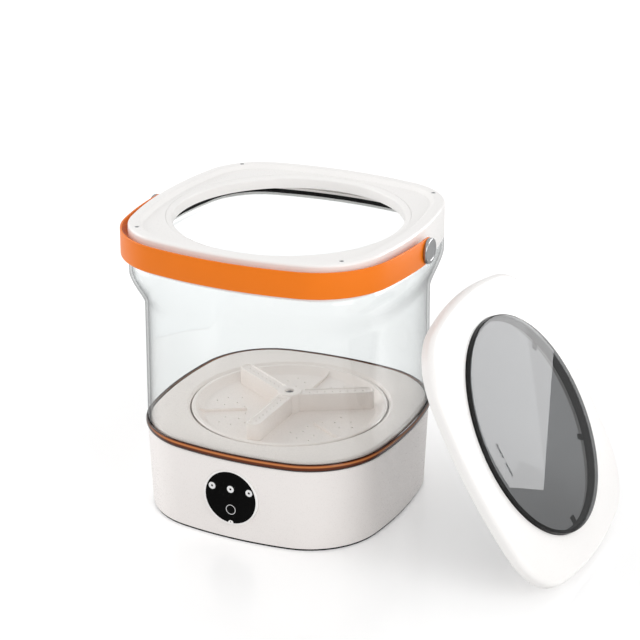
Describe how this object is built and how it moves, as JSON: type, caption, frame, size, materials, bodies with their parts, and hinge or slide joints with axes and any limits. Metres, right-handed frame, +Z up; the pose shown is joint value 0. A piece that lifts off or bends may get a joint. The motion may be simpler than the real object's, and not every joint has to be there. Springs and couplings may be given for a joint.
{
  "type": "portable washing machine",
  "caption": "Portable tabletop washing machine: clear tub on a white base with a touch panel, strap handle on the collar, and a windowed lid standing beside it.",
  "frame": {"origin": "on the floor under the middle of the machine, on its vertical drive axis", "axes": "+Z up, -Y out of the front with the touch panel, +X along the front to the side where the lid stands"},
  "size_m": [0.5023, 0.3025, 0.3135],
  "materials": {
    "white_plastic": "gloss",
    "deck_plastic": "gloss",
    "clear_plastic": "clear gloss",
    "amber_plastic": "translucent gloss",
    "orange_plastic": "satin gloss",
    "panel_black": "gloss",
    "panel_print": "screen print",
    "smoked_plastic": "smoked gloss",
    "black_plastic": "matte",
    "black_rubber": "matte",
    "nylon": "matte",
    "chrome": "polished",
    "steel": "zinc plated",
    "shaft_steel": "ground",
    "cast_aluminium": "as cast",
    "pulley_plastic": "matte",
    "brass": "turned",
    "circuit_board": "solder mask",
    "contact_foam": "conductive",
    "wire": "matte"
  },
  "bodies": {
    "machine": {"foot_ring": "black_rubber", "base_plate": "white_plastic", "base_screws": "steel", "base_housing": "white_plastic", "trim_ring": "amber_plastic", "tub_gasket": "black_rubber", "tub": "clear_plastic", "wash_deck": "deck_plastic", "deck_screws": "steel", "collar_gasket": "black_rubber", "collar": "white_plastic", "mouth_ring": "white_plastic", "collar_screws": "steel", "handle_pins": "chrome", "handle_washers": "nylon", "pin_nuts": "steel", "panel_bezel": "white_plastic", "indicator_lens": "panel_black", "touch_panel": "panel_black", "panel_rings": "panel_print", "panel_screws": "steel", "touch_board": "circuit_board", "touch_pads": "contact_foam", "touch_board_screws": "steel", "shaft_seal": "black_rubber", "upper_bearing": "shaft_steel", "lower_bearing": "shaft_steel", "bearing_housing": "cast_aluminium", "bearing_screws": "steel", "drive_belt": "black_rubber", "motor": "steel", "motor_screws": "steel", "motor_bracket": "steel", "bracket_grommets": "black_rubber", "bracket_screws": "steel", "driver_board": "circuit_board", "driver_board_screws": "steel", "power_inlet": "black_plastic", "inlet_nut": "steel", "wiring": "wire"},
    "handle": {"handle": "orange_plastic"},
    "pulsator": {"pulsator": "deck_plastic", "pulsator_screw": "steel", "drive_shaft": "shaft_steel", "driven_pulley": "pulley_plastic", "pulley_nut": "steel"},
    "motor_rotor": {"motor_shaft": "shaft_steel", "motor_pulley": "brass"},
    "lid": {"lid_frame": "white_plastic", "lid_window": "smoked_plastic", "lid_seal": "black_rubber", "lid_inner_ring": "white_plastic", "lid_clips": "black_plastic", "lid_screws": "steel"}
  },
  "joints": [
    {"name": "handle_swing", "type": "hinge", "parent": "machine", "child": "handle", "pos_m": [0, 0, 0.2935], "axis": [-1, 0, 0], "range_deg": [0, 179]},
    {"name": "pulsator_spin", "type": "hinge", "parent": "machine", "child": "pulsator", "pos_m": [0, 0, 0.09], "axis": [0, 0, 1], "continuous": true},
    {"name": "motor_spin", "type": "hinge", "parent": "machine", "child": "motor_rotor", "pos_m": [0, 0.082, 0.03], "axis": [0, 0, 1], "continuous": true},
    {"name": "lid_pull", "type": "slide", "parent": "machine", "child": "lid", "axis": [0.8651, 0.0045, 0.5015], "range_m": [0, 0.15]}
  ],
  "couplings": [
    {"joint": "motor_spin", "follows": "pulsator_spin", "ratio": 6.625}
  ]
}
